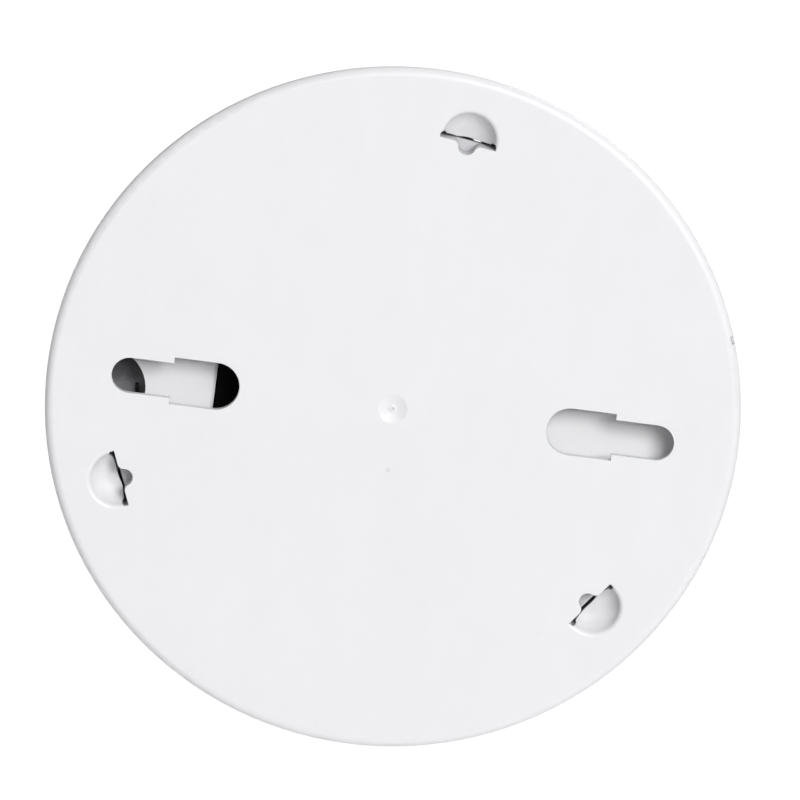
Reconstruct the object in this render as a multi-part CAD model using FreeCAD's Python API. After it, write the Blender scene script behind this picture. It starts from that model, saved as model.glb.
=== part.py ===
"""Battery smoke detector on its round mounting plate, as separate sub-parts.

Millimetres. The origin is the centre of the mounting plate's back face, which lies
on the wall. +Y points into the wall, -Y into the room and +Z is up. Most places
are given as a depth, the distance from the wall towards the room, so depth = -y.
Angles are measured in the XZ plane from +X towards +Z.
"""
import FreeCAD, Part
import math
import os

os.makedirs("parts", exist_ok=True)
V = FreeCAD.Vector
ROOM = V(0, -1, 0)

# ---------------------------------------------------------------- mounting plate
PLATE_R = 54.4
PLATE_T = 1.2
RIM_ROUND_R = 1.5
RIM_ROUND_TURN = math.radians(60)
SKIRT_DEPTH = 5.3
SKIRT_FOOT_R = 52.9
SKIRT_INNER_R = 51.4
INDEX_ANGLE = 160.9
INDEX_W = 1.3

# keyhole slots, one each side of the centre, wide end inwards
SLOT_INNER_R = 24.2
SLOT_STEP_R = 34.8
SLOT_OUTER_R = 44.3
SLOT_WIDE_HALF = 3.75
SLOT_NARROW_HALF = 2.8

# dimple left by the moulding gate
DIMPLE_R = 2.3
DIMPLE_DEPTH = 0.42
NUB_R = 0.85
NUB_H = 0.15
PIT_R = 0.2

# faint round mark of an ejector pin
PIN_MARK = (-0.4, -9.8)
PIN_MARK_R = 0.32
PIN_MARK_DEPTH = 0.06

# D-shaped catch pockets, each closed by a lid with one free edge
CATCH_ANGLES = (97.9, 217.9, 337.9)
CATCH_CHORD_R = 43.9
CATCH_ARC_R = 4.9
CATCH_ARC_OUT = 0.7
CATCH_LID_DEPTH = 2.8
CATCH_LID_T = 1.0
CATCH_BROW_R = 0.8
CATCH_BOWL_R = 3.6
CATCH_SHAFT_R = 4.5
NOTCH_R = 1.35
NOTCH_DROP = 1.8
NOTCH_FLARE_R = 1.0
NOTCH_FLOOR = 3.1
NOTCH_FLOOR_T = 0.8
LID_EDGE = ((4.7, 0.7), (4.0, 0.6), (3.0, 0.5), (1.4, 0.46), (0.0, 0.5), (-0.9, 0.42),
            (-1.8, 0.28), (-2.5, 0.38), (-3.4, 0.5), (-4.1, 0.62), (-4.7, 0.7))
GAP_END_R = 0.45
GAP_END_S = 4.05
GAP_END_U = 0.45

# bayonet: tabs on the rear housing turn over ledges on the plate's skirt
BAYONET_ANGLES = (38.0, 158.0, 278.0)
TAB_SPAN = 12.0
TAB_OUT_R = 50.8
TAB_TOP = 2.6
TAB_T = 1.2
LEDGE_IN_R = 49.3
LEDGE_T = 1.1
STOP_SPAN = 2.0
STOP_GAP = 0.5

# ---------------------------------------------------------------- rear housing
COLLAR_R = 48.8
COLLAR_T = 1.8
FLOOR_DEPTH = 5.2
FLOOR_T = 1.8
FLANGE_TOP = 5.6
FLANGE_R = 52.2
PARTING_DEPTH = 10.0
PARTING_R = 51.4
WALL_T = 2.0
PORT_X = 45.0
PORT_Z = -3.5
PORT_R = 6.35

# the collar is low where it passes the pockets' undersides, and the floor is open there
COLLAR_DIP_DEPTH = 4.4
COLLAR_DIP_SPAN = 47.0
VENT_IN_R = 43.3
VENT_OUT_R = 46.3
VENT_HALF_W = 5.2

# ---------------------------------------------------------------- battery, PP3 size
BATTERY_LEN = 46.4
BATTERY_W = 26.5
BATTERY_T = 17.5
BATTERY_END_X = 27.7
BATTERY_TOP = 5.7
TERMINAL_PITCH = 12.7
TERMINAL_H = 2.1
STUD_R = 2.9
SOCKET_R = 3.8
BAY_END_X = 27.85
BAY_FAR_X = -23.0
BAY_HALF_W = 13.8
BAY_BOTTOM = 23.4
BAY_WALL = 1.4
BAY_LIP = 0.45

# ---------------------------------------------------------------- front cover
COVER_GAP = 0.3
COVER_MID = (50.2, 19.0)
COVER_EDGE = (46.9, 26.4)
SHOULDER_MID = (45.9, 28.6)
SHOULDER_OUT = (43.4, 29.7)
SHOULDER_IN = (33.0, 31.0)
POST_ANGLES = (60.0, 145.0, 243.0, 318.0)
POST_R = 41.0
POST_BODY_R = 3.2
SCREW_R = 1.5
SCREW_HEAD_R = 2.9
SCREW_HEAD_H = 1.9
BOSS_END = 9.0
GRILLE_RADII = (36.9, 39.2, 41.5)
GRILLE_W = 1.2
GRILLE_HALF_ANGLE = 15.0

# ---------------------------------------------------------------- sensing head
CAGE_R = 32.2
CAGE_RIB_IN = 29.6
CAGE_RIBS = 30
CAGE_RIB_T = 1.1
CAGE_BASE_TOP = 31.7
CAGE_RING_TOP = 38.6
CAGE_TOP = 39.9
CAP_R = 33.6
CAP_SKIRT = 38.9
CAP_SHOULDER = (CAP_R, 41.2)
CAP_CORNER_MID = (32.6, 43.2)
CAP_CORNER = (30.2, 44.2)
CAP_DOME_MID = (20.0, 45.5)
CAP_TOP = 46.0
CAP_T = 1.6

# ---------------------------------------------------------------- circuit board
BOARD_TOP = 25.2
BOARD_T = 1.6
BOARD_R = 41.5
BOARD_EAR_R = 43.6
BOARD_FACE = BOARD_TOP + BOARD_T
BOARD_SCREW_R = 38.0
BOARD_SCREW_ANGLES = (25.0, 182.0, 287.0)
BOARD_SCREW_SHANK = 1.1
BOARD_SCREW_HEAD = 2.2
CHIP_LENGTH = 20.0
CHIP_Z = -27.0
CHIP_HALF_W = 3.2
CHIP_H = 3.6
PIN_PITCH = 2.54
PIN_HALF_W = 0.3
PINS_A_SIDE = 8
# radius, length, x and z of each electrolytic capacitor
CAPACITORS = ((4.0, 11.5, -22.0, -27.0), (3.15, 9.0, 17.5, -30.0), (3.15, 9.0, -33.0, 9.0))
SIREN_Z = 28.4
SIREN_R = 13.0
SIREN_TOP = 14.0
SIREN_FRONT = 26.2
COIL_X = 40.1
COIL_Z = -2.2
COIL_R = 4.7
COIL_RIM_W = 0.3
COIL_DISH = 2.2
COIL_SLOT_X = 39.9
COIL_SLOT_Z = -3.7
COIL_SLOT_HALF = 0.33
COIL_SLOT_DEPTH = 6.0
COIL_SLOT_TURN = -8.0
COIL_TOP = 8.8

# ---------------------------------------------------------------- sensing chamber
CHAMBER_R = 23.6
CHAMBER_FLOOR = 28.8
CHAMBER_LID = 38.3
CHAMBER_TOP = 39.5
FIN_COUNT = 26
SCREEN_R = 24.6
SCREEN_T = 0.4
OPTIC_ANGLES = (20.0, 160.0)
OPTIC_R = 2.0
OPTIC_LENGTH = 6.0
OPTIC_NEAR = 12.0
OPTIC_DEPTH = CHAMBER_FLOOR + 3.2
HOLDER_NEAR = 10.0
HOLDER_FAR = 18.4
HOLDER_HALF_W = 3.4

# ---------------------------------------------------------------- test button, lamp
BUTTON_R = 8.9
BUTTON_HOLE_R = 9.2
BUTTON_TOP = 46.3
BUTTON_FOOT = 41.2
BUTTON_DISH = 0.5
BUTTON_TRAVEL = 1.2
BUTTON_ROOF = 1.7
RETURN_SPRING_R = 4.2
RETURN_SPRING_WIRE = 0.3
RETURN_SPRING_TURNS = 4
STEM_Z = -27.4
STEM_R = 1.6
SWITCH_TOP = 30.6
LAMP_R = 27.4
LAMP_ANGLE = 135.0
PIPE_R = 1.5
PIPE_TOP = BOARD_FACE + 5.2
PIPE_END = 44.7
LAMP_BODY_R = 1.5
LAMP_BODY_H = 3.4


# ================================================================ helpers
def polar(radius, angle):
    """X and Z of a point at a radius and an angle."""
    return radius * math.cos(math.radians(angle)), radius * math.sin(math.radians(angle))


def disc(radius, top, bottom, x=0.0, z=0.0):
    return Part.makeCylinder(radius, bottom - top, V(x, -top, z), ROOM)


def tube(outer, inner, top, bottom, x=0.0, z=0.0):
    return disc(outer, top, bottom, x, z).cut(disc(inner, top - 1, bottom + 1, x, z))


def block(x0, x1, top, bottom, z0, z1):
    return Part.makeBox(x1 - x0, bottom - top, z1 - z0, V(x0, -bottom, z0))


def turned(edges):
    """A solid turned about the plate's axis from edges in (radius, depth)."""
    return Part.Face(Part.Wire(edges)).revolve(V(0, 0, 0), ROOM, 360)


def line(a, b):
    return Part.makeLine(V(a[0], -a[1], 0), V(b[0], -b[1], 0))


def arc(a, middle, b):
    return Part.Arc(*(V(p[0], -p[1], 0) for p in (a, middle, b))).toShape()


def lathe(points):
    """A turned solid whose outline is straight from point to point."""
    return turned([line(a, b) for a, b in zip(points, points[1:] + points[:1])])


def sector(outer, inner, top, bottom, start, span):
    corners = ((inner, top), (outer, top), (outer, bottom), (inner, bottom))
    edges = [line(a, b) for a, b in zip(corners, corners[1:] + corners[:1])]
    solid = Part.Face(Part.Wire(edges)).revolve(V(0, 0, 0), ROOM, span)
    return spun(solid, start)


def spun(shape, angle):
    """A copy of a shape turned about the plate's axis."""
    copy = shape.copy()
    copy.rotate(V(0, 0, 0), ROOM, angle)
    return copy


def joined(first, *others):
    return first.fuse(list(others)).removeSplitter()


def at_angles(shape, angles):
    return [spun(shape, angle) for angle in angles]


def save(name, *solids):
    """Write one sub-part, as one solid or as a group of separate solids."""
    kept = [s for shape in solids for s in shape.Solids]
    for solid in kept:
        assert solid.isValid() and solid.Volume > 0, name
    shape = kept[0] if len(kept) == 1 else Part.makeCompound(kept)
    shape.exportStep(os.path.join("parts", name + ".step"))
    print("%-22s %2d solid(s) %10.2f mm3" % (name, len(kept), shape.Volume))
    return shape


# ================================================================ mounting plate
def keyhole():
    """The cutter of one keyhole slot, on the +X side."""
    below = PLATE_T + 1
    wide_x = SLOT_INNER_R + SLOT_WIDE_HALF
    narrow_x = SLOT_OUTER_R - SLOT_NARROW_HALF
    return joined(
        disc(SLOT_WIDE_HALF, -1, below, wide_x),
        block(wide_x, SLOT_STEP_R, -1, below, -SLOT_WIDE_HALF, SLOT_WIDE_HALF),
        block(wide_x, narrow_x, -1, below, -SLOT_NARROW_HALF, SLOT_NARROW_HALF),
        disc(SLOT_NARROW_HALF, -1, below, narrow_x))


def lid_side(top, bottom):
    """The space outwards of the lid's free edge, which has a small tongue in it."""
    points = [V(CATCH_CHORD_R + u, -top, s) for s, u in LID_EDGE]
    curve = Part.BSplineCurve()
    curve.interpolate(points)
    far = CATCH_CHORD_R + 3 * CATCH_ARC_R
    ends = [V(far, -top, points[-1].z), V(far, -top, points[0].z)]
    edges = [curve.toShape(), Part.makeLine(points[-1], ends[0]),
             Part.makeLine(ends[0], ends[1]), Part.makeLine(ends[1], points[0])]
    return Part.Face(Part.Wire(edges)).extrude(ROOM * (bottom - top))


def catch_notch(bottom):
    """The round notch in the chord, flared where it meets the chord."""
    centre = CATCH_CHORD_R + NOTCH_R - NOTCH_DROP
    notch = disc(NOTCH_R, -1, bottom, centre)
    # each flare's arc touches the chord and the notch's circle
    flare = CATCH_CHORD_R - NOTCH_FLARE_R
    reach = math.sqrt((NOTCH_R + NOTCH_FLARE_R) ** 2 - (flare - centre) ** 2)
    touch = centre + (flare - centre) * NOTCH_R / (NOTCH_R + NOTCH_FLARE_R)
    throat = block(touch, CATCH_CHORD_R + 0.1, -1, bottom, -reach, reach)
    return joined(notch, throat.cut([disc(NOTCH_FLARE_R, -2, bottom + 1, flare, side * reach)
                                     for side in (-1, 1)]))


def catch_well():
    """The round well of a pocket: a rounded brow that turns into a bowl round its floor."""
    radii = CATCH_BROW_R + CATCH_BOWL_R
    steep = math.acos(1 - CATCH_LID_DEPTH / radii)
    floor_r = CATCH_ARC_R - radii * math.sin(steep)
    # the brow starts a hair above the face, so that it meets it at an angle
    lift = 0.005
    brow = [(CATCH_ARC_R - CATCH_BROW_R * math.sin(a), CATCH_BROW_R * (1 - math.cos(a)) - lift)
            for a in (0.0, steep / 2, steep)]
    bowl = [(floor_r + CATCH_BOWL_R * math.sin(a),
             CATCH_LID_DEPTH - CATCH_BOWL_R * (1 - math.cos(a)) - lift)
            for a in (steep, steep / 2, 0.0)]
    bowl[0] = brow[2]
    corners = [bowl[2], (0, CATCH_LID_DEPTH - lift), (0, -1), (CATCH_ARC_R, -1), brow[0]]
    sides = [line(first, second) for first, second in zip(corners, corners[1:])]
    well = turned([arc(*brow), arc(*bowl)] + sides)
    well.translate(V(CATCH_CHORD_R + CATCH_ARC_OUT, 0, 0))
    return well


def catch_pocket():
    """The cutter of one pocket: the D-shaped well, the notch and the gap by the lid."""
    through = CATCH_LID_DEPTH + CATCH_LID_T + 1
    outward = block(CATCH_CHORD_R, CATCH_CHORD_R + 2 * CATCH_ARC_R, -1, through,
                    -2 * CATCH_ARC_R, 2 * CATCH_ARC_R)
    upper = catch_well().common(outward).fuse(catch_notch(CATCH_LID_DEPTH))
    shaft = disc(CATCH_SHAFT_R, -1, through, CATCH_CHORD_R + CATCH_ARC_OUT).common(outward)
    gap = shaft.cut(lid_side(-2, through + 1))
    ends = [disc(GAP_END_R, -1, through, CATCH_CHORD_R + GAP_END_U, side * GAP_END_S)
            for side in (-1, 1)]
    notch = catch_notch(NOTCH_FLOOR).cut(lid_side(CATCH_LID_DEPTH, through + 1))
    return joined(upper, gap, notch, *ends)


def catch_lid_pad():
    """The thickening under the pocket and the notch, on the plate's room side."""
    top = PLATE_T - 0.3
    lid_bottom = CATCH_LID_DEPTH + CATCH_LID_T
    pad = disc(CATCH_ARC_R + 0.5, top, lid_bottom, CATCH_CHORD_R + CATCH_ARC_OUT)
    cup = disc(NOTCH_R + 1.3, top, NOTCH_FLOOR + NOTCH_FLOOR_T,
               CATCH_CHORD_R + NOTCH_R - NOTCH_DROP)
    inside = disc(COLLAR_R - COLLAR_T - 0.4, 0, SKIRT_DEPTH)
    return pad.fuse(cup.common(inside))


def gate_dimple():
    """The shallow dish at the centre, with its small pitted nub."""
    ball_r = (DIMPLE_R ** 2 + DIMPLE_DEPTH ** 2) / (2 * DIMPLE_DEPTH)
    dish = Part.makeSphere(ball_r, V(0, ball_r - DIMPLE_DEPTH, 0))
    nub_ball_r = (NUB_R ** 2 + NUB_H ** 2) / (2 * NUB_H)
    nub_top = DIMPLE_DEPTH - NUB_H
    nub = Part.makeSphere(nub_ball_r, V(0, -nub_top - nub_ball_r, 0))
    pit = disc(PIT_R, 0, nub_top + 0.1)
    return dish.cut(nub).fuse(pit)


def plate_body():
    """The round plate with its rounded rim and its skirt."""
    lip = PLATE_R - RIM_ROUND_R * math.sin(RIM_ROUND_TURN)
    rim = [(lip + RIM_ROUND_R * math.sin(a), RIM_ROUND_R * (1 - math.cos(a)))
           for a in (0.0, RIM_ROUND_TURN / 2, RIM_ROUND_TURN)]
    corners = [rim[2], (PLATE_R, RIM_ROUND_R), (SKIRT_FOOT_R, SKIRT_DEPTH),
               (SKIRT_INNER_R, SKIRT_DEPTH), (SKIRT_INNER_R, PLATE_T), (0, PLATE_T), (0, 0)]
    sides = [line(first, second) for first, second in zip(corners, corners[1:])]
    return turned([line((0, 0), rim[0]), arc(*rim)] + sides)


def bayonet_ledge():
    """One ledge inside the skirt, with the stop that a locked tab rests beside."""
    top = TAB_TOP + TAB_T + 0.3
    start = -STOP_GAP - STOP_SPAN
    ledge = sector(SKIRT_INNER_R + 0.2, LEDGE_IN_R, top, top + LEDGE_T,
                   start, STOP_SPAN + STOP_GAP + TAB_SPAN)
    stop = sector(SKIRT_INNER_R + 0.2, LEDGE_IN_R, PLATE_T - 0.3, top + LEDGE_T,
                  start, STOP_SPAN)
    return ledge.fuse(stop)


def mounting_plate():
    plate = plate_body()
    plate = plate.fuse(at_angles(catch_lid_pad(), CATCH_ANGLES))
    plate = plate.fuse(at_angles(bayonet_ledge(), BAYONET_ANGLES))
    cutters = at_angles(keyhole(), (0, 180)) + at_angles(catch_pocket(), CATCH_ANGLES)
    index = block(PLATE_R - 0.45, PLATE_R + 1, -1, 1.4, -INDEX_W / 2, INDEX_W / 2)
    mark_x, mark_z = PIN_MARK
    cutters += [gate_dimple(), spun(index, INDEX_ANGLE),
                disc(PIN_MARK_R, -1, PIN_MARK_DEPTH, mark_x, mark_z)]
    return plate.cut(cutters).removeSplitter()


# ================================================================ rear housing
def rear_housing():
    inner_floor = FLOOR_DEPTH + FLOOR_T
    wall_in = FLANGE_R - WALL_T
    shell = lathe([(0, FLOOR_DEPTH), (COLLAR_R - COLLAR_T, FLOOR_DEPTH),
                   (COLLAR_R - COLLAR_T, TAB_TOP), (COLLAR_R, TAB_TOP),
                   (COLLAR_R, FLANGE_TOP), (FLANGE_R, FLANGE_TOP),
                   (PARTING_R, PARTING_DEPTH), (PARTING_R - WALL_T, PARTING_DEPTH),
                   (wall_in, inner_floor), (0, inner_floor)])
    tab = sector(TAB_OUT_R, COLLAR_R - 0.2, TAB_TOP, TAB_TOP + TAB_T, 0, TAB_SPAN)
    bay = block(BAY_FAR_X - BAY_WALL, BAY_END_X + BAY_WALL, FLOOR_DEPTH,
                BAY_BOTTOM + BAY_WALL, -BAY_HALF_W - BAY_WALL, BAY_HALF_W + BAY_WALL)
    boss = disc(SCREW_HEAD_R + 1.3, FLOOR_DEPTH, BOSS_END, POST_R)
    body = joined(shell, bay, *at_angles(tab, BAYONET_ANGLES), *at_angles(boss, POST_ANGLES))
    hollow = block(BAY_FAR_X, BAY_END_X, 0, BAY_BOTTOM, -BAY_HALF_W, BAY_HALF_W)
    lip = bay_lip_chamfer()
    seat = disc(SCREW_HEAD_R + 0.3, 0, FLOOR_DEPTH + SCREW_HEAD_H + 0.3, POST_R)
    shank = disc(SCREW_R + 0.2, 0, BOSS_END + 1, POST_R)
    port = disc(PORT_R, FLOOR_DEPTH - 1, inner_floor + 1, PORT_X, PORT_Z)
    port = port.common(disc(COLLAR_R - COLLAR_T, 0, 20))
    span = COLLAR_DIP_SPAN
    dip = sector(COLLAR_R + 1, COLLAR_R - COLLAR_T - 0.5, TAB_TOP - 1, COLLAR_DIP_DEPTH,
                 -span / 2, span)
    vent = block(VENT_IN_R, VENT_OUT_R, FLOOR_DEPTH - 1, inner_floor + 1,
                 -VENT_HALF_W, VENT_HALF_W)
    cutters = [hollow, lip, port] + contact_slots()
    cutters += at_angles(dip, CATCH_ANGLES) + at_angles(vent, CATCH_ANGLES)
    cutters += at_angles(seat, POST_ANGLES) + at_angles(shank, POST_ANGLES)
    return body.cut(cutters).removeSplitter()


def bay_lip_chamfer():
    """A bevel round the battery bay's mouth."""
    def rectangle(grow, depth):
        x0, x1 = BAY_FAR_X - grow, BAY_END_X + grow
        z = BAY_HALF_W + grow
        corners = [V(x0, -depth, -z), V(x1, -depth, -z), V(x1, -depth, z), V(x0, -depth, z)]
        return Part.makePolygon(corners + corners[:1])
    wires = [rectangle(BAY_LIP, FLOOR_DEPTH - 0.001), rectangle(0, FLOOR_DEPTH + BAY_LIP)]
    return Part.makeLoft(wires, True, True)


def contact_slots():
    """Slits in the bay's bottom for the legs of the two battery contacts."""
    return [block(BAY_FAR_X - 0.1, BAY_FAR_X + 1.2, BAY_BOTTOM - 1, BAY_BOTTOM + BAY_WALL + 1,
                  z - 2.4, z + 2.4) for z in (-TERMINAL_PITCH / 2, TERMINAL_PITCH / 2)]


# ================================================================ battery
def battery_case():
    x0 = BATTERY_END_X - BATTERY_LEN
    half = BATTERY_W / 2
    case = block(x0, BATTERY_END_X, BATTERY_TOP, BATTERY_TOP + BATTERY_T, -half, half)
    long_edges = [e for e in case.Edges if abs(e.tangentAt(e.FirstParameter).x) > 0.9]
    return case.makeFillet(2.0, long_edges)


def battery_terminals():
    """The stud and the socket snap on the battery's end, on their fibre plate."""
    x0 = BATTERY_END_X - BATTERY_LEN
    depth = BATTERY_TOP + BATTERY_T / 2
    stud = Part.makeCylinder(STUD_R, TERMINAL_H, V(x0, -depth, TERMINAL_PITCH / 2), V(-1, 0, 0))
    socket = Part.makeCylinder(SOCKET_R, TERMINAL_H, V(x0, -depth, -TERMINAL_PITCH / 2),
                               V(-1, 0, 0))
    well = Part.makeCylinder(STUD_R - 0.1, TERMINAL_H, V(x0 - 0.6, -depth, -TERMINAL_PITCH / 2),
                             V(-1, 0, 0))
    return stud, socket.cut(well)


def battery_contacts():
    """Two leaf contacts that press on the terminals and run down to the board."""
    face = BATTERY_END_X - BATTERY_LEN - TERMINAL_H
    depth = BATTERY_TOP + BATTERY_T / 2
    made = []
    for z in (-TERMINAL_PITCH / 2, TERMINAL_PITCH / 2):
        pad = block(face - 0.35, face, depth - 4, depth + 4, z - 3, z + 3)
        bridge = block(BAY_FAR_X + 0.1, face, depth - 4.35, depth - 4, z - 3, z + 3)
        leg = block(BAY_FAR_X + 0.1, BAY_FAR_X + 0.45, depth - 4.35, BOARD_TOP, z - 2, z + 2)
        made.append(joined(pad, bridge, leg))
    return made


# ================================================================ front cover
def cover_shell():
    """The outer shell, from the parting line to the hole for the sensing head."""
    start = (PARTING_R, PARTING_DEPTH + COVER_GAP)
    thin = WALL_T
    inner = [(SHOULDER_IN[0], SHOULDER_IN[1] - thin), (SHOULDER_OUT[0] - 0.6, SHOULDER_OUT[1] - thin),
             (COVER_EDGE[0] - thin, COVER_EDGE[1] - 0.6), (COVER_MID[0] - thin, COVER_MID[1]),
             (start[0] - thin, start[1])]
    edges = [arc(start, COVER_MID, COVER_EDGE), arc(COVER_EDGE, SHOULDER_MID, SHOULDER_OUT),
             line(SHOULDER_OUT, SHOULDER_IN), line(SHOULDER_IN, inner[0]),
             line(inner[0], inner[1]), line(inner[1], inner[2]),
             arc(inner[2], inner[3], inner[4]), line(inner[4], start)]
    return turned(edges)


def siren_grille():
    return [sector(r + GRILLE_W / 2, r - GRILLE_W / 2, SHOULDER_OUT[1] - 4, SHOULDER_IN[1] + 2,
                   90 - GRILLE_HALF_ANGLE, 2 * GRILLE_HALF_ANGLE) for r in GRILLE_RADII]


def front_cover():
    post = disc(POST_BODY_R, BOSS_END, SHOULDER_OUT[1] - 0.6, POST_R)
    lug = disc(3.0, BOARD_FACE, SHOULDER_IN[1] - 1.0, BOARD_SCREW_R)
    bore = PARTING_R - WALL_T
    tongue = tube(bore - 0.2, bore - 1.3, PARTING_DEPTH - 2, PARTING_DEPTH + 3)
    root = tube(bore + 0.4, bore - 1.3, PARTING_DEPTH + 0.6, PARTING_DEPTH + 3)
    body = joined(cover_shell(), tongue, root, *at_angles(post, POST_ANGLES),
                  *at_angles(lug, BOARD_SCREW_ANGLES))
    pilot = disc(SCREW_R, 0, 20.0, POST_R)
    small = disc(BOARD_SCREW_SHANK, BOARD_FACE - 1, BOARD_FACE + 2.2, BOARD_SCREW_R)
    cutters = siren_grille() + at_angles(pilot, POST_ANGLES)
    cutters += at_angles(small, BOARD_SCREW_ANGLES)
    return body.cut(cutters).removeSplitter()


def housing_screws():
    """Four screws that hold the rear housing to the front cover's posts."""
    top = FLOOR_DEPTH + 0.3
    head = disc(SCREW_HEAD_R, top, top + SCREW_HEAD_H, POST_R)
    shank = disc(SCREW_R, top + SCREW_HEAD_H - 0.1, 18.0, POST_R)
    cross = [block(POST_R - a, POST_R + a, top - 1, top + 0.9, -b, b)
             for a, b in ((1.6, 0.35), (0.35, 1.6))]
    screw = joined(head, shank).cut(cross)
    return at_angles(screw, POST_ANGLES)


# ================================================================ sensing head
def vent_cage():
    """The ring of upright ribs that smoke drifts in between."""
    foot = SHOULDER_IN[1] - WALL_T - 1.1
    base = tube(SHOULDER_IN[0] - 0.15, CAGE_RIB_IN, foot, CAGE_BASE_TOP)
    flange = tube(SHOULDER_IN[0] + 1.8, CAGE_RIB_IN, foot, foot + 0.7)
    ring = tube(CAGE_R, CAGE_RIB_IN, CAGE_RING_TOP, CAGE_TOP)
    rib = block(CAGE_RIB_IN + 0.3, CAGE_R - 0.3, CAGE_BASE_TOP - 0.3, CAGE_RING_TOP + 0.3,
                -CAGE_RIB_T / 2, CAGE_RIB_T / 2)
    ribs = at_angles(rib, [360 / CAGE_RIBS * (k + 0.5) for k in range(CAGE_RIBS)])
    return joined(base, flange, ring, *ribs)


def sensor_cap():
    """The domed cap over the chamber, open at its centre for the test button."""
    def inside(point, inwards=0.0):
        return point[0] - inwards, point[1] - CAP_T

    rim_top = (BUTTON_HOLE_R, CAP_TOP)
    skirt_in = CAP_R - 1.2
    inner_corner, inner_shoulder = inside(CAP_CORNER, 0.6), (skirt_in, CAP_SHOULDER[1] - 0.6)
    corners = [inner_shoulder, (skirt_in, CAP_SKIRT), (CAP_R, CAP_SKIRT), CAP_SHOULDER]
    dome = [arc(CAP_SHOULDER, CAP_CORNER_MID, CAP_CORNER), arc(CAP_CORNER, CAP_DOME_MID, rim_top),
            line(rim_top, inside(rim_top)),
            arc(inside(rim_top), inside(CAP_DOME_MID), inner_corner),
            arc(inner_corner, inside(CAP_CORNER_MID, 1.1), inner_shoulder)]
    dome += [line(first, second) for first, second in zip(corners, corners[1:])]
    x, z = polar(LAMP_R, LAMP_ANGLE)
    return turned(dome).cut(disc(PIPE_R + 0.15, CAP_SKIRT, CAP_TOP, x, z))


def test_button():
    """The button, its retaining flange, and the arm and stem that reach the switch."""
    crown = disc(BUTTON_R, BUTTON_FOOT, BUTTON_TOP)
    crown = crown.makeFillet(0.5, [e for e in crown.Edges if e.BoundBox.YMax < -BUTTON_TOP + 0.01])
    reach = BUTTON_R - 1.2
    ball_r = (reach ** 2 + BUTTON_DISH ** 2) / (2 * BUTTON_DISH)
    dish = Part.makeSphere(ball_r, V(0, -(BUTTON_TOP - BUTTON_DISH + ball_r), 0))
    hollow = disc(BUTTON_R - 1.5, BUTTON_FOOT - 1, BUTTON_TOP - BUTTON_ROOF)
    boss = disc(2.4, BUTTON_FOOT + 0.7, BUTTON_TOP - 1.5)
    flange = tube(BUTTON_R + 1.4, BUTTON_R - 0.5, BUTTON_FOOT + 1.7, CAP_TOP - CAP_T - 0.35)
    arm = block(-2.2, 2.2, BUTTON_FOOT - 0.3, BUTTON_FOOT + 0.9, STEM_Z, -(BUTTON_R - 1))
    stem = disc(STEM_R, SWITCH_TOP, BUTTON_FOOT + 0.9, 0, STEM_Z)
    return joined(crown.cut([dish, hollow]), boss, flange, arm, stem)


def coil_spring(mean_r, wire_r, top, bottom, turns, x=0.0, z=0.0):
    """A helical spring along the depth, between two depths."""
    height = bottom - top - 2 * wire_r
    pitch = height / turns
    coils = []
    for k in range(turns):
        coil = Part.makeHelix(pitch, pitch, mean_r)
        coil.translate(V(0, 0, pitch * k))
        coils += coil.Edges
    ring = Part.makeCircle(wire_r, V(mean_r, 0, 0), V(0, 1, 0))
    spring = Part.Wire(coils).makePipeShell([Part.Wire(ring)], True, True)
    spring.rotate(V(0, 0, 0), V(1, 0, 0), 90)
    spring.translate(V(x, -(top + wire_r), z))
    return spring


# ================================================================ circuit board
def circuit_board():
    board = disc(BOARD_R, BOARD_TOP, BOARD_FACE)
    ear = disc(COIL_R + 0.4, BOARD_TOP, BOARD_FACE, COIL_X, COIL_Z)
    board = board.fuse(ear.common(disc(BOARD_EAR_R, BOARD_TOP, BOARD_FACE))).removeSplitter()
    cutters = [disc(SIREN_R + 0.7, 0, 50, 0, SIREN_Z),
               block(-5, 5, 0, 50, SIREN_Z + SIREN_R - 2, 60)]
    cutters += at_angles(disc(POST_BODY_R + 0.5, 0, 50, POST_R), POST_ANGLES)
    cutters += at_angles(disc(BOARD_SCREW_SHANK + 0.2, 0, 50, BOARD_SCREW_R),
                         BOARD_SCREW_ANGLES)
    return board.cut(cutters)


def board_screws():
    head = disc(BOARD_SCREW_HEAD, BOARD_TOP - 1.5, BOARD_TOP, BOARD_SCREW_R)
    shank = disc(BOARD_SCREW_SHANK, BOARD_TOP - 0.1, BOARD_FACE + 2, BOARD_SCREW_R)
    slot = block(BOARD_SCREW_R - 1.5, BOARD_SCREW_R + 1.5, BOARD_TOP - 3, BOARD_TOP - 0.8,
                 -0.3, 0.3)
    return at_angles(joined(head, shank).cut(slot), BOARD_SCREW_ANGLES)


def control_chip():
    """A sixteen-pin controller on the board's wall side."""
    stand_off = 0.6
    half = CHIP_LENGTH / 2
    body = block(-half, half, BOARD_TOP - stand_off - CHIP_H, BOARD_TOP - stand_off,
                 CHIP_Z - CHIP_HALF_W, CHIP_Z + CHIP_HALF_W)
    body = body.makeChamfer(0.4, [e for e in body.Edges if e.Length > CHIP_LENGTH - 1])
    pins = []
    for k in range(PINS_A_SIDE):
        x = (k - (PINS_A_SIDE - 1) / 2) * PIN_PITCH
        for z in (CHIP_Z - CHIP_HALF_W - 1.0, CHIP_Z + CHIP_HALF_W):
            pins.append(block(x - PIN_HALF_W, x + PIN_HALF_W, BOARD_TOP - 2.6, BOARD_TOP,
                              z, z + 1.0))
    return [body] + pins


def can(radius, length, x, z):
    """An electrolytic capacitor standing on the board's wall side."""
    top = BOARD_TOP - length
    body = disc(radius, top, BOARD_TOP - 0.3, x, z)
    rolled = body.makeFillet(0.5, [e for e in body.Edges if e.BoundBox.YMin > -top - 0.01])
    return rolled


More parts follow.
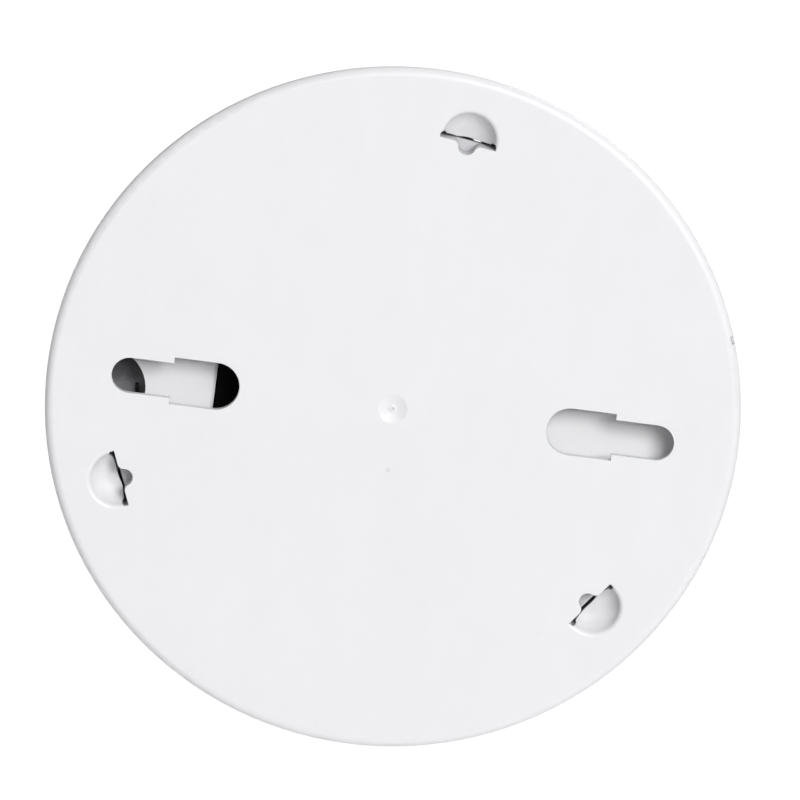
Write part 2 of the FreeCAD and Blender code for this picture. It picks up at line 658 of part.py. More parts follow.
def driver_coil():
    """The siren's step-up coil, a cup core under the rear housing's round port, with
    a dished top and a slot for its wire."""
    body = disc(COIL_R, COIL_TOP, BOARD_TOP - 0.2, COIL_X, COIL_Z)
    rim = COIL_R - COIL_RIM_W
    ball_r = (rim ** 2 + COIL_DISH ** 2) / (2 * COIL_DISH)
    ball = Part.makeSphere(ball_r, V(COIL_X, ball_r - COIL_DISH - COIL_TOP, COIL_Z))
    slot = joined(disc(COIL_SLOT_HALF, COIL_TOP - 1, COIL_TOP + COIL_SLOT_DEPTH),
                  block(-COIL_SLOT_HALF, COIL_SLOT_HALF, COIL_TOP - 1,
                        COIL_TOP + COIL_SLOT_DEPTH, -COIL_R, 0))
    slot = spun(slot, COIL_SLOT_TURN)
    slot.translate(V(COIL_SLOT_X, 0, COIL_SLOT_Z))
    return body.cut([ball, slot])


def chip_parts():
    """Small resistors and capacitors on the board's room side."""
    made = []
    for k in range(9):
        x, z = polar(36.5, 205 + 13 * k)
        if min(math.hypot(x - px, z - pz) for px, pz in keep_clear()) > 5.5:
            made.append(block(x - 1.0, x + 1.0, BOARD_FACE, BOARD_FACE + 0.7, z - 0.6, z + 0.6))
    return made


def keep_clear():
    spots = [polar(POST_R, angle) for angle in POST_ANGLES]
    return spots + [polar(BOARD_SCREW_R, angle) for angle in BOARD_SCREW_ANGLES]


def test_switch():
    """The switch's case, with the well that its key sinks into."""
    body = block(-2.6, 2.6, BOARD_FACE, SWITCH_TOP - BUTTON_TRAVEL, STEM_Z - 1.9, STEM_Z + 2.4)
    return body.cut(disc(STEM_R + 0.1, BOARD_FACE + 0.6, SWITCH_TOP, 0, STEM_Z))


def switch_key():
    return disc(STEM_R, BOARD_FACE + 0.8 + BUTTON_TRAVEL, SWITCH_TOP, 0, STEM_Z)


def alarm_lamp():
    x, z = polar(LAMP_R, LAMP_ANGLE)
    body = disc(LAMP_BODY_R, BOARD_FACE, BOARD_FACE + LAMP_BODY_H, x, z)
    dome = Part.makeSphere(LAMP_BODY_R, V(x, -BOARD_FACE - LAMP_BODY_H, z))
    flange = disc(LAMP_BODY_R + 0.35, BOARD_FACE, BOARD_FACE + 0.8, x, z)
    return joined(body, dome, flange)


def light_pipe():
    x, z = polar(LAMP_R, LAMP_ANGLE)
    rod = disc(PIPE_R, PIPE_TOP, PIPE_END, x, z)
    return rod.makeFillet(0.5, [e for e in rod.Edges if e.BoundBox.YMax < -PIPE_END + 0.1])


# ================================================================ siren
def siren_drum():
    """The resonator drum behind the piezo disc, with its front seat."""
    cup = tube(SIREN_R, SIREN_R - 1.2, SIREN_TOP, SIREN_FRONT, 0, SIREN_Z)
    back = disc(SIREN_R, SIREN_TOP, SIREN_TOP + 1.2, 0, SIREN_Z)
    seat = tube(SIREN_R - 1.0, SIREN_R - 2.4, SIREN_TOP, SIREN_FRONT - 3.0, 0, SIREN_Z)
    return joined(cup, back, seat)


def siren_mouth():
    """The front plate of the siren, with its sound hole."""
    top = SIREN_FRONT - 1.4
    plate = disc(SIREN_R - 1.25, top, SIREN_FRONT, 0, SIREN_Z)
    spout = tube(4.4, 3.0, SIREN_FRONT - 0.1, SIREN_FRONT + 0.5, 0, SIREN_Z)
    return joined(plate, spout).cut(disc(3.0, top - 1, SIREN_FRONT + 3, 0, SIREN_Z))


def siren_springs():
    """Three contact springs that feed the piezo disc from the drum's back."""
    top = SIREN_TOP + 1.2
    bottom = SIREN_FRONT - 3.0
    places = ((-7, SIREN_Z - 5), (7, SIREN_Z - 5), (0, SIREN_Z))
    return [coil_spring(1.3, 0.2, top, bottom, 5, x, z) for x, z in places]


# ================================================================ sensing chamber
def optic_rod(radius, near, length, angle):
    """A rod along an optical part's axis, from near outwards."""
    x, z = polar(1.0, angle)
    return Part.makeCylinder(radius, length, V(near * x, -OPTIC_DEPTH, near * z), V(x, 0, z))


def chamber_base():
    """The dark chamber's floor, with a holder for each optical part."""
    floor = disc(CHAMBER_R, BOARD_FACE, CHAMBER_FLOOR)
    holder = block(HOLDER_NEAR, HOLDER_FAR, CHAMBER_FLOOR - 0.2,
                   2 * OPTIC_DEPTH - CHAMBER_FLOOR, -HOLDER_HALF_W, HOLDER_HALF_W)
    body = joined(floor, *at_angles(holder, OPTIC_ANGLES))
    bore_length = HOLDER_FAR - HOLDER_NEAR + 2
    return body.cut([optic_rod(OPTIC_R + 0.05, HOLDER_NEAR - 1, bore_length, angle)
                     for angle in OPTIC_ANGLES])


def labyrinth():
    """Slanting fins that let smoke in and keep light out, on one thin ring."""
    top = CHAMBER_FLOOR + 0.02
    ring = tube(CHAMBER_R - 0.2, 19.0, top, top + 0.7)
    made = []
    for k in range(FIN_COUNT):
        fin = block(-2.0, 2.2, top + 0.5, CHAMBER_LID - 0.05, -0.4, 0.4)
        fin.rotate(V(0, 0, 0), ROOM, 52)
        fin.translate(V(21.2, 0, 0))
        made.append(spun(fin, 360 / FIN_COUNT * k))
    return joined(ring, *made)


def chamber_lid():
    lid = disc(CHAMBER_R, CHAMBER_LID, CHAMBER_TOP)
    return lid.makeFillet(0.5, [e for e in lid.Edges if e.BoundBox.YMax < -CHAMBER_TOP + 0.01])


def insect_screen():
    """A fine screen round the chamber, made as a thin pierced sleeve."""
    sleeve = tube(SCREEN_R, SCREEN_R - SCREEN_T, BOARD_FACE + 0.05, CHAMBER_TOP - 0.1)
    window = block(SCREEN_R - 2, SCREEN_R + 2, CHAMBER_FLOOR + 1.2, CHAMBER_LID - 0.6, -1.9, 1.9)
    return sleeve.cut(at_angles(window, [30 * k for k in range(12)]))


def optic_part(angle):
    """An optical part lying in its holder, its round nose towards the centre."""
    x, z = polar(OPTIC_NEAR, angle)
    body = optic_rod(OPTIC_R, OPTIC_NEAR, OPTIC_LENGTH, angle)
    return joined(body, Part.makeSphere(OPTIC_R, V(x, -OPTIC_DEPTH, z)))


# ================================================================ all parts
def main():
    save("mounting_plate", mounting_plate())
    save("rear_housing", rear_housing())
    save("front_cover", front_cover())
    save("housing_screws", *housing_screws())
    save("vent_cage", vent_cage())
    save("sensor_cap", sensor_cap())
    save("battery_case", battery_case())
    save("battery_terminals", *battery_terminals())
    save("battery_contacts", *battery_contacts())
    save("circuit_board", circuit_board())
    save("board_screws", *board_screws())
    save("control_chip", *control_chip())
    save("capacitors", *[can(*size_and_place) for size_and_place in CAPACITORS])
    save("driver_coil", driver_coil())
    save("chip_parts", *chip_parts())
    save("siren_drum", siren_drum())
    save("piezo_disc", disc(SIREN_R - 1.35, SIREN_FRONT - 3.0, SIREN_FRONT - 2.7, 0, SIREN_Z))
    save("siren_mouth", siren_mouth())
    save("siren_springs", *siren_springs())
    save("chamber_base", chamber_base())
    save("labyrinth", labyrinth())
    save("chamber_lid", chamber_lid())
    save("insect_screen", insect_screen())
    save("infrared_lamp", optic_part(OPTIC_ANGLES[0]))
    save("light_sensor", optic_part(OPTIC_ANGLES[1]))
    save("test_switch", test_switch())
    save("switch_key", switch_key())
    save("alarm_lamp", alarm_lamp())
    save("light_pipe", light_pipe())
    save("test_button", test_button())
    save("button_spring", coil_spring(RETURN_SPRING_R, RETURN_SPRING_WIRE, CHAMBER_TOP,
                                      BUTTON_TOP - BUTTON_ROOF, RETURN_SPRING_TURNS))


main()
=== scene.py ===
import math

import bmesh
import bpy
from mathutils import Matrix, Vector


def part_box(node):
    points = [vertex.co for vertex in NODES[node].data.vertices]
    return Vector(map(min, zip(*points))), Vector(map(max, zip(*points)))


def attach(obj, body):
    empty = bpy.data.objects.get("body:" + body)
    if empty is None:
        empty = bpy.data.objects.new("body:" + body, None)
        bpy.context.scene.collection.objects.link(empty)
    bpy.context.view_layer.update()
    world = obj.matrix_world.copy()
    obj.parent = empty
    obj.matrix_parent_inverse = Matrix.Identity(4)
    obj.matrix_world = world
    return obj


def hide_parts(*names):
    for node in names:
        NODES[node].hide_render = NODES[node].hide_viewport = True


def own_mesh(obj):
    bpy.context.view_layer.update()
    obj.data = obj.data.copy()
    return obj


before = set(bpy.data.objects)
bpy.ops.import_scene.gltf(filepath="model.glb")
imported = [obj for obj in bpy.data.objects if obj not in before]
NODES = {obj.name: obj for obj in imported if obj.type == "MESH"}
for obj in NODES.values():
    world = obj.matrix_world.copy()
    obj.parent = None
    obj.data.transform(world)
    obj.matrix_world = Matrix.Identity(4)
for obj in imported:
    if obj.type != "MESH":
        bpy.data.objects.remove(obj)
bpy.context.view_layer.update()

MM = 0.001


# ================================================================ camera
# The detector is seen from the wall side, a little from above. The picture takes in
# FRAME_WIDTH of the plate's face, on which its own right and up are turned by ROLL.
LENS_MM = 900.0
SENSOR_MM = 36.0
FRAME_WIDTH = 125.0 * MM
ROLL = math.radians(7.5)
TILT_DOWN = math.radians(12.6)
AIM_RIGHT = 1.12 * MM
AIM_UP = 1.46 * MM
CLIP_NEAR = 0.1
CLIP_FAR = 20.0
PICTURE_RIGHT = Vector((-math.cos(ROLL), 0.0, math.sin(ROLL)))
PICTURE_UP = Vector((math.sin(ROLL), 0.0, math.cos(ROLL)))


def on_face(right, up, out=0.0):
    """A point by its offsets in the picture and its distance out from the plate's face."""
    return right * PICTURE_RIGHT + up * PICTURE_UP + Vector((0.0, out, 0.0))


def facing(back, up):
    """A rotation whose -Z looks against back, with up as near to up as it can be."""
    z = back.normalized()
    y = (up - up.dot(z) * z).normalized()
    return Matrix((y.cross(z), y, z)).transposed()


def add_camera():
    """The long-lens camera, far enough away to take in the frame's width."""
    data = bpy.data.cameras.new("camera")
    data.lens = LENS_MM
    data.sensor_width = SENSOR_MM
    data.clip_start = CLIP_NEAR
    data.clip_end = CLIP_FAR
    camera = bpy.data.objects.new("camera", data)
    bpy.context.scene.collection.objects.link(camera)
    target = on_face(AIM_RIGHT, AIM_UP)
    back = (Vector((0.0, 1.0, 0.0)) + math.tan(TILT_DOWN) * PICTURE_UP).normalized()
    distance = FRAME_WIDTH * LENS_MM / SENSOR_MM
    camera.matrix_world = (Matrix.Translation(target + distance * back)
                           @ facing(back, PICTURE_UP).to_4x4())
    bpy.context.scene.camera = camera


# ================================================================ light, floor
# Strengths of the even light all round, of the white that the camera sees behind the
# object, and of the floor's own glow, which brings it nearer to that white.
AMBIENT = 0.05
BACKDROP = 1.05
FLOOR_GLOW = 0.12
FLOOR_Z = -1.3
FLOOR_HALF = 2.6
FLOOR_CELLS = 12
WHITE = (1.0, 1.0, 1.0, 1.0)
Z_UP = Vector((0.0, 0.0, 1.0))


def softbox(name, place, size, power):
    """A square area light, its power in watts, that looks at the frame's origin."""
    data = bpy.data.lights.new(name, "AREA")
    data.shape = "SQUARE"
    data.size = size
    data.energy = power
    light = bpy.data.objects.new(name, data)
    bpy.context.scene.collection.objects.link(light)
    light.matrix_world = Matrix.Translation(place) @ facing(Vector(place), Z_UP).to_4x4()


def add_lights():
    """A large key and weak fills on the wall side, and a key and a fill on the room side."""
    softbox("key_wall_side", on_face(1.5, 1.33, 3.0), 1.6, 109.0)
    softbox("fill_wall_side", on_face(-0.15, 0.78, 3.5), 0.8, 13.0)
    softbox("top_wall_side", on_face(0.5, 4.0, 1.4), 1.8, 20.0)
    softbox("key_room_side", (-0.9, -1.5, 1.5), 1.0, 33.0)
    softbox("fill_room_side", (1.5, -1.5, 0.2), 1.2, 14.0)


def add_world():
    """White behind the object, and a weaker even light from all round."""
    world = bpy.data.worlds.new("studio")
    world.use_nodes = True
    tree = world.node_tree
    tree.nodes.clear()
    seen = add(tree, "Background", Color=WHITE, Strength=BACKDROP)
    lighting = add(tree, "Background", Color=WHITE, Strength=AMBIENT)
    mix = add(tree, "MixShader")
    path = add(tree, "LightPath")
    out = add(tree, "OutputWorld")
    tree.links.new(path.outputs["Is Camera Ray"], mix.inputs["Fac"])
    tree.links.new(lighting.outputs["Background"], mix.inputs[1])
    tree.links.new(seen.outputs["Background"], mix.inputs[2])
    tree.links.new(mix.outputs["Shader"], out.inputs["Surface"])
    bpy.context.scene.world = world
    bpy.context.scene.view_settings.view_transform = "Standard"


def add_floor():
    """The plain pale floor, well below the object."""
    made = bmesh.new()
    bmesh.ops.create_grid(made, x_segments=FLOOR_CELLS, y_segments=FLOOR_CELLS,
                          size=FLOOR_HALF)
    floor = finish_mesh("floor", made)
    floor.location.z = FLOOR_Z
    floor.data.materials.append(MATERIALS["floor_paint"])


# ================================================================ shader helpers
EDGE_SAMPLES = 4


def add(tree, kind, **sockets):
    """A shader node with some of its sockets set, named with _ for a space."""
    node = tree.nodes.new("ShaderNode" + kind)
    for name, value in sockets.items():
        node.inputs[name.replace("_", " ")].default_value = value
    return node


def start(name):
    """A material with a Principled shader. Returns it, its tree and its shader."""
    material = bpy.data.materials.new(name)
    material.use_nodes = True
    tree = material.node_tree
    tree.nodes.clear()
    shader = add(tree, "BsdfPrincipled")
    out = add(tree, "OutputMaterial")
    tree.links.new(shader.outputs["BSDF"], out.inputs["Surface"])
    return material, tree, shader


def place_in(tree, stretch=(1.0, 1.0, 1.0)):
    """The point on the object, in metres, stretched along its axes."""
    coords = add(tree, "TexCoord")
    mapping = add(tree, "Mapping", Scale=stretch)
    tree.links.new(coords.outputs["Object"], mapping.inputs["Vector"])
    return mapping.outputs["Vector"]


def noise(tree, size, detail=3.0, stretch=(1.0, 1.0, 1.0), distortion=0.0):
    """Cloudy noise from 0 to 1 whose blobs are about size metres wide."""
    node = add(tree, "TexNoise", Scale=1.0 / size, Detail=detail, Distortion=distortion)
    tree.links.new(place_in(tree, stretch), node.inputs["Vector"])
    return node.outputs["Fac"]


def cells(tree, size):
    """Distance from the nearest of many scattered points, about size metres apart."""
    node = add(tree, "TexVoronoi", Scale=1.0 / size)
    tree.links.new(place_in(tree), node.inputs["Vector"])
    return node.outputs["Distance"]


def between(tree, value, low, high, to_low=0.0, to_high=1.0):
    """The value mapped from one range to another, and held inside it."""
    node = add(tree, "MapRange", From_Min=low, From_Max=high, To_Min=to_low, To_Max=to_high)
    tree.links.new(value, node.inputs["Value"])
    return node.outputs["Result"]


def blend_colours(tree, amount, first, second):
    """A colour between two, each a tuple or another node's output."""
    node = add(tree, "Mix")
    node.data_type = "RGBA"
    tree.links.new(amount, node.inputs["Factor"])
    for colour, socket in ((first, node.inputs[6]), (second, node.inputs[7])):
        if isinstance(colour, tuple):
            socket.default_value = colour + (1.0,)
        else:
            tree.links.new(colour, socket)
    return node.outputs[2]


def combine(tree, operation, first, second):
    """A sum, product or other operation on two values."""
    node = add(tree, "Math")
    node.operation = operation
    for value, socket in ((first, node.inputs[0]), (second, node.inputs[1])):
        if isinstance(value, float):
            socket.default_value = value
        else:
            tree.links.new(value, socket)
    return node.outputs["Value"]


def relief(tree, shader, height, depth, under, strength):
    """Bumps of the given depth in metres, on top of another normal or of None."""
    node = add(tree, "Bump", Strength=strength, Distance=depth)
    tree.links.new(height, node.inputs["Height"])
    if under is not None:
        tree.links.new(under, node.inputs["Normal"])
    tree.links.new(node.outputs["Normal"], shader.inputs["Normal"])
    return node.outputs["Normal"]


def soft_edges(tree, radius):
    """Normals that turn round the corners as if they were slightly worn."""
    node = add(tree, "Bevel", Radius=radius)
    node.samples = EDGE_SAMPLES
    return node.outputs["Normal"]


# ================================================================ materials
# Painted shade: an ambient-occlusion mask blends the colour in hollows towards
# PAINTED_SHADE_GREY, and makes them rougher.
PAINTED_SHADE_GREY = (0.3, 0.3, 0.315)
HOLLOW_REACH = 4 * MM
HOLLOW_ROUGHNESS = 0.8
HOLLOW_SAMPLES = 8
OPENNESS_IN_HOLLOW = 0.35
OPENNESS_ON_FACE = 0.97


def hollow_shade_and_dulling(tree, strength):
    """How deep in a hollow a point lies, from 0 on an open face to strength, read from ambient
    occlusion: the amount of painted shade laid in hollows, which also makes them duller.
    """
    node = add(tree, "AmbientOcclusion", Distance=HOLLOW_REACH)
    node.samples = HOLLOW_SAMPLES
    return between(tree, node.outputs["AO"], OPENNESS_IN_HOLLOW, OPENNESS_ON_FACE,
                   strength, 0.0)


def moulded_plastic(name, light, shade, gloss, grain_size, grain_depth, edge=0.12 * MM,
                    hollow_shade_strength=0.0):
    """Injection-moulded plastic: flow clouds, spark-eroded grain, fine rubs, soft edges, and
    painted shade in hollows, where the colour is painted greyer and the surface made duller, from
    not at all at 0 to all grey at 1."""
    material, tree, shader = start(name)
    clouds = noise(tree, 22 * MM, detail=2.0, distortion=0.6)
    flow = noise(tree, 5 * MM, detail=4.0, stretch=(1.0, 1.0, 0.35))
    tone = combine(tree, "ADD", combine(tree, "MULTIPLY", clouds, 0.6),
                   combine(tree, "MULTIPLY", flow, 0.4))
    colour = blend_colours(tree, between(tree, tone, 0.35, 0.65), light, shade)
    dust = between(tree, cells(tree, 6 * MM), 0.012, 0.022, 0.35, 0.0)
    dark = tuple(0.72 * channel for channel in shade)
    specked = blend_colours(tree, dust, colour, dark)
    rubs = noise(tree, 1.2 * MM, detail=5.0, stretch=(0.25, 1.0, 1.0))
    rough = between(tree, combine(tree, "ADD", rubs, combine(tree, "MULTIPLY", clouds, 0.5)),
                    0.5, 1.0, gloss[0], gloss[1])
    if hollow_shade_strength > 0.0:
        # Painted shade in the hollows, with more roughness there.
        hollow_shade_amount = hollow_shade_and_dulling(tree, hollow_shade_strength)
        specked = blend_colours(tree, hollow_shade_amount, specked, PAINTED_SHADE_GREY)
        rough = combine(tree, "ADD", rough, combine(tree, "MULTIPLY", hollow_shade_amount,
                                                   HOLLOW_ROUGHNESS))
    tree.links.new(specked, shader.inputs["Base Color"])
    tree.links.new(rough, shader.inputs["Roughness"])
    shader.inputs["IOR"].default_value = 1.52
    sink = relief(tree, shader, clouds, 0.05 * MM, soft_edges(tree, edge), 0.35)
    grain = noise(tree, grain_size, detail=2.0)
    relief(tree, shader, grain, grain_depth, sink, 0.5)
    return material


def matt_black(name, colour, shade, grain_size=0.25 * MM):
    """Black moulded plastic or resin with an open, sparkling grain."""
    material, tree, shader = start(name)
    clouds = noise(tree, 4 * MM, detail=4.0)
    grain = noise(tree, grain_size, detail=3.0)
    tone = combine(tree, "MULTIPLY", clouds, grain)
    tree.links.new(blend_colours(tree, between(tree, tone, 0.15, 0.4), colour, shade),
                   shader.inputs["Base Color"])
    tree.links.new(between(tree, clouds, 0.3, 0.7, 0.5, 0.72), shader.inputs["Roughness"])
    relief(tree, shader, grain, 0.04 * MM, soft_edges(tree, 0.08 * MM), 0.6)
    return material


def metal(name, colour, tarnish, rough):
    """Plated or drawn metal: fine brush lines and cloudy tarnish."""
    material, tree, shader = start(name)
    clouds = noise(tree, 3 * MM, detail=5.0)
    lines = noise(tree, 0.15 * MM, detail=2.0, stretch=(1.0, 1.0, 0.08))
    tree.links.new(blend_colours(tree, between(tree, clouds, 0.42, 0.75), colour, tarnish),
                   shader.inputs["Base Color"])
    tree.links.new(between(tree, lines, 0.3, 0.7, rough[0], rough[1]),
                   shader.inputs["Roughness"])
    shader.inputs["Metallic"].default_value = 1.0
    relief(tree, shader, lines, 0.01 * MM, soft_edges(tree, 0.06 * MM), 0.4)
    return material


def clear_resin(name, colour, tint):
    """Cast clear resin with faint flow lines and a few bubbles."""
    material, tree, shader = start(name)
    flow = noise(tree, 1.5 * MM, detail=3.0, distortion=1.5)
    tree.links.new(blend_colours(tree, between(tree, flow, 0.35, 0.65), colour, tint),
                   shader.inputs["Base Color"])
    tree.links.new(between(tree, flow, 0.3, 0.7, 0.03, 0.12), shader.inputs["Roughness"])
    shader.inputs["Transmission Weight"].default_value = 0.85
    shader.inputs["IOR"].default_value = 1.5
    bubbles = between(tree, cells(tree, 0.7 * MM), 0.0, 0.12)
    relief(tree, shader, bubbles, 0.02 * MM, None, 0.3)
    return material


def battery_jacket():
    """Black lacquered tinplate: orange-peel, handling rubs and rounded edges."""
    material, tree, shader = start("battery_jacket")
    rubs = noise(tree, 0.5 * MM, detail=6.0, stretch=(0.1, 1.0, 1.0))
    clouds = noise(tree, 9 * MM, detail=4.0)
    scuffed = between(tree, combine(tree, "MULTIPLY", rubs, clouds), 0.33, 0.5)
    tree.links.new(blend_colours(tree, scuffed, (0.0008, 0.0008, 0.0009), (0.003, 0.003, 0.0034)),
                   shader.inputs["Base Color"])
    tree.links.new(between(tree, clouds, 0.3, 0.7, 0.4, 0.55), shader.inputs["Roughness"])
    shader.inputs["Specular IOR Level"].default_value = 0.06
    peel = noise(tree, 0.8 * MM, detail=2.0)
    relief(tree, shader, peel, 0.03 * MM, soft_edges(tree, 0.3 * MM), 0.35)
    return material


def shrink_sleeve():
    """A dark grey heat-shrunk sleeve, with wrinkles round it and a dull sheen."""
    material, tree, shader = start("coil_sleeve")
    wrinkles = noise(tree, 1.6 * MM, detail=4.0, stretch=(1.0, 0.3, 1.0), distortion=1.0)
    tree.links.new(blend_colours(tree, between(tree, wrinkles, 0.3, 0.7),
                                 (0.15, 0.15, 0.16), (0.22, 0.22, 0.235)),
                   shader.inputs["Base Color"])
    tree.links.new(between(tree, wrinkles, 0.3, 0.7, 0.36, 0.55), shader.inputs["Roughness"])
    relief(tree, shader, wrinkles, 0.12 * MM, soft_edges(tree, 0.2 * MM), 0.5)
    return material


def solder_mask():
    """Green solder mask over glass cloth, with copper tracks raised under it."""
    material, tree, shader = start("board_green")
    tracks = add(tree, "TexBrick", Scale=1.0 / (9 * MM), Mortar_Size=0.035, Mortar_Smooth=0.2,
                 Brick_Width=0.62, Row_Height=0.21)
    tree.links.new(place_in(tree), tracks.inputs["Vector"])
    weave = add(tree, "TexWave", Scale=1.0 / (5 * MM), Distortion=0.6, Detail=2.0)
    tree.links.new(place_in(tree), weave.inputs["Vector"])
    mask = blend_colours(tree, weave.outputs["Fac"], (0.008, 0.085, 0.035), (0.012, 0.115, 0.05))
    tree.links.new(blend_colours(tree, tracks.outputs["Fac"], mask, (0.035, 0.2, 0.08)),
                   shader.inputs["Base Color"])
    tree.links.new(between(tree, noise(tree, 2 * MM), 0.3, 0.7, 0.22, 0.4),
                   shader.inputs["Roughness"])
    relief(tree, shader, tracks.outputs["Fac"], 0.05 * MM, None, 0.6)
    return material


def ceramic():
    """Glazed ceramic, mottled tan."""
    material, tree, shader = start("chip_ceramic")
    mottle = noise(tree, 0.4 * MM, detail=4.0)
    tree.links.new(blend_colours(tree, between(tree, mottle, 0.3, 0.7),
                                 (0.3, 0.2, 0.11), (0.5, 0.38, 0.24)),
                   shader.inputs["Base Color"])
    tree.links.new(between(tree, mottle, 0.3, 0.7, 0.25, 0.5), shader.inputs["Roughness"])
    relief(tree, shader, mottle, 0.02 * MM, soft_edges(tree, 0.06 * MM), 0.5)
    return material


def floor_paint():
    """Pale matt paint with faint clouds and a little glow of its own."""
    material, tree, shader = start("floor_paint")
    clouds = noise(tree, 0.8, detail=3.0)
    tree.links.new(blend_colours(tree, between(tree, clouds, 0.3, 0.7),
                                 (0.84, 0.84, 0.85), (0.87, 0.87, 0.87)),
                   shader.inputs["Base Color"])
    tree.links.new(between(tree, clouds, 0.3, 0.7, 0.6, 0.7), shader.inputs["Roughness"])
    shader.inputs["Emission Color"].default_value = WHITE
    shader.inputs["Emission Strength"].default_value = FLOOR_GLOW
    return material


MATERIALS = {
    "floor_paint": floor_paint(),
    # The plate gets painted shade in its hollows.
    "plate_white": moulded_plastic("plate_white", (0.86, 0.86, 0.875), (0.84, 0.84, 0.856),
                                   (0.3, 0.42), 0.22 * MM, 0.012 * MM, edge=0.22 * MM,
                                   hollow_shade_strength=0.62),
    "housing_white": moulded_plastic("housing_white", (0.89, 0.89, 0.9), (0.87, 0.87, 0.882),
                                     (0.36, 0.5), 0.25 * MM, 0.014 * MM),
    "cover_white": moulded_plastic("cover_white", (0.86, 0.86, 0.872), (0.84, 0.84, 0.854),
                                   (0.34, 0.46), 0.32 * MM, 0.03 * MM, edge=0.18 * MM),
    "button_white": moulded_plastic("button_white", (0.87, 0.87, 0.88), (0.855, 0.855, 0.866),
                                    (0.31, 0.35), 0.4 * MM, 0.008 * MM, edge=0.15 * MM),
    "chamber_black": matt_black("chamber_black", (0.01, 0.01, 0.011), (0.03, 0.03, 0.032)),
    "chip_black": matt_black("chip_black", (0.018, 0.018, 0.018), (0.04, 0.04, 0.04),
                             0.12 * MM),
    "siren_black": matt_black("siren_black", (0.016, 0.016, 0.017), (0.035, 0.035, 0.036)),
    "switch_key": matt_black("switch_key", (0.03, 0.03, 0.03), (0.06, 0.06, 0.06), 0.1 * MM),
    "battery_jacket": battery_jacket(),
    "coil_sleeve": shrink_sleeve(),
    "board_green": solder_mask(),
    "chip_ceramic": ceramic(),
    "sleeve_black": matt_black("sleeve_black", (0.012, 0.013, 0.02), (0.03, 0.03, 0.04),
                               0.5 * MM),
    "screen_steel": metal("screen_steel", (0.5, 0.5, 0.5), (0.33, 0.32, 0.31), (0.25, 0.4)),
    "screw_steel": metal("screw_steel", (0.66, 0.67, 0.7), (0.55, 0.52, 0.45), (0.22, 0.4)),
    "contact_steel": metal("contact_steel", (0.75, 0.72, 0.66), (0.6, 0.57, 0.5),
                           (0.16, 0.32)),
    "spring_steel": metal("spring_steel", (0.6, 0.6, 0.62), (0.45, 0.44, 0.43), (0.18, 0.34)),
    "piezo_brass": metal("piezo_brass", (0.8, 0.62, 0.3), (0.62, 0.42, 0.18), (0.2, 0.38)),
    "optic_clear": clear_resin("optic_clear", (0.85, 0.88, 0.95), (0.7, 0.76, 0.9)),
    "optic_dark": clear_resin("optic_dark", (0.02, 0.012, 0.03), (0.04, 0.02, 0.05)),
    "lamp_red": clear_resin("lamp_red", (0.85, 0.06, 0.04), (0.6, 0.02, 0.02)),
    "pipe_clear": clear_resin("pipe_clear", (0.93, 0.9, 0.9), (0.86, 0.8, 0.8)),
}


def dress_nodes():
    """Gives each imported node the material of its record's slot."""
    for node in NODES.values():
        for index, slot in enumerate(node.material_slots):
            node.data.materials[index] = MATERIALS[slot.name.split(".")[0]]


# ================================================================ mesh helpers
def finish_mesh(name, made):
    """An object with the mesh that was made, its outer sides facing out."""
    bmesh.ops.recalc_face_normals(made, faces=made.faces)
    mesh = bpy.data.meshes.new(name)
    made.to_mesh(mesh)
    made.free()
    piece = bpy.data.objects.new(name, mesh)
    bpy.context.scene.collection.objects.link(piece)
    return piece


def around(radius, angle, y):
    """The point at an angle round the detector's axis."""
    return Vector((radius * math.cos(angle), y, radius * math.sin(angle)))


def add_wire(made, points, radius, sides, closed):
    """A round wire through the points, with a ring of corners at each. Its ends are
    capped, or joined to each other if it is closed."""
    rings = []
    count = len(points)
    for k, point in enumerate(points):
        before = points[(k - 1) % count] if closed or k > 0 else point
        after = points[(k + 1) % count] if closed or k < count - 1 else point
        along = (after - before).normalized()
        side = along.cross(Vector((point.x, 0.0, point.z))).normalized()
        out = side.cross(along)
        ring = []
        for s in range(sides):
            turn = 2 * math.pi * s / sides
            ring.append(made.verts.new(point + radius * (math.cos(turn) * side
                                                         + math.sin(turn) * out)))
        rings.append(ring)
    pairs = list(zip(rings, rings[1:])) + ([(rings[-1], rings[0])] if closed else [])
    for first, second in pairs:
        for s in range(sides):
            t = (s + 1) % sides
            made.faces.new((first[s], first[t], second[t], second[s]))
    if not closed:
        made.faces.new(rings[0][::-1])
        made.faces.new(rings[-1])


def wire_piece(name, made, material):
    """A smooth object with the wires that were made."""
    piece = finish_mesh(name, made)
    for face in piece.data.polygons:
        face.use_smooth = True
    piece.data.materials.append(MATERIALS[material])
    return piece


# ================================================================ insect screen
# The wires' middle line lies SCREEN_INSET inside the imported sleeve's outer face.
SCREEN_INSET = 0.2 * MM
SCREEN_PITCH = 1.15 * MM
SCREEN_WIRE_R = 0.11 * MM
SCREEN_WAVE = 0.1 * MM
SCREEN_SIDES = 6
POINTS_PER_CROSSING = 3


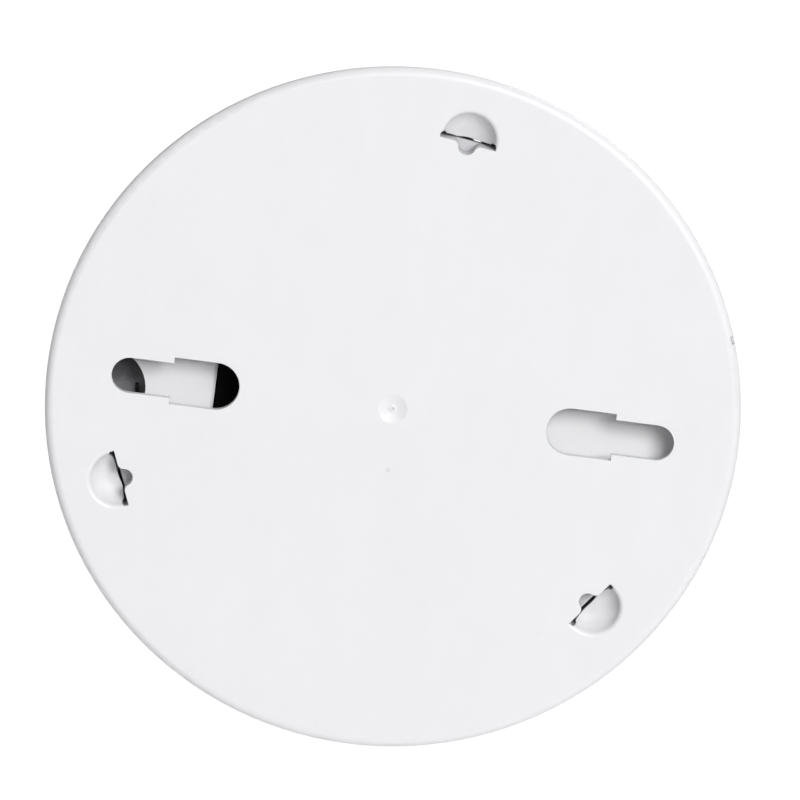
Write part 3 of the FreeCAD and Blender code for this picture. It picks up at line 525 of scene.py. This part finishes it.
def woven_screen():
    """The sleeve of woven wire round the smoke chamber: upright and round wires that
    pass over and under each other."""
    low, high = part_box("insect_screen")
    radius = high.x - SCREEN_INSET
    uprights = 2 * round(math.pi * radius / SCREEN_PITCH)
    rounds = round((high.y - low.y) / SCREEN_PITCH)
    step = (high.y - low.y - 2 * SCREEN_WIRE_R) / rounds
    made = bmesh.new()
    for k in range(uprights):
        angle = 2 * math.pi * k / uprights
        phase = math.pi * k
        points = []
        for j in range(rounds * POINTS_PER_CROSSING + 1):
            along = j / POINTS_PER_CROSSING
            r = radius + SCREEN_WAVE * math.sin(math.pi * along + phase)
            y = low.y + SCREEN_WIRE_R + along * step
            points.append(around(r, angle, y))
        add_wire(made, points, SCREEN_WIRE_R, SCREEN_SIDES, False)
    for j in range(rounds):
        points = []
        y = low.y + SCREEN_WIRE_R + (j + 0.5) * step
        for k in range(uprights * POINTS_PER_CROSSING):
            turn = k / POINTS_PER_CROSSING
            angle = 2 * math.pi * turn / uprights
            r = radius - SCREEN_WAVE * math.cos(math.pi * turn) * math.cos(math.pi * j)
            points.append(around(r, angle, y))
        add_wire(made, points, SCREEN_WIRE_R, SCREEN_SIDES, True)
    screen = wire_piece("woven_insect_screen", made, "screen_steel")
    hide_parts("insect_screen")
    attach(screen, "detector")


# ================================================================ button spring
SPRING_WIRE_R = 0.3 * MM
SPRING_TURNS = 4.5
SPRING_SIDES = 10
STEPS_PER_TURN = 28
END_CLOSING = 0.14


def button_spring():
    """The return spring under the test button, with its end turns closed up."""
    low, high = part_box("button_spring")
    mean = high.x - SPRING_WIRE_R
    length = high.y - low.y
    steps = round(SPRING_TURNS * STEPS_PER_TURN)
    points = []
    for k in range(steps + 1):
        share = k / steps
        eased = share - END_CLOSING * math.sin(2 * math.pi * share) / math.pi
        turn = 2 * math.pi * SPRING_TURNS * share
        y = high.y - SPRING_WIRE_R - eased * (length - 2 * SPRING_WIRE_R)
        points.append(around(mean, turn, y))
    made = bmesh.new()
    add_wire(made, points, SPRING_WIRE_R, SPRING_SIDES, False)
    spring = wire_piece("button_return_spring", made, "spring_steel")
    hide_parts("button_spring")
    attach(spring, "detector")
    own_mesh(spring)


# ================================================================ build
add_camera()
add_world()
add_lights()
add_floor()
dress_nodes()
woven_screen()
button_spring()

bpy.context.view_layer.update()
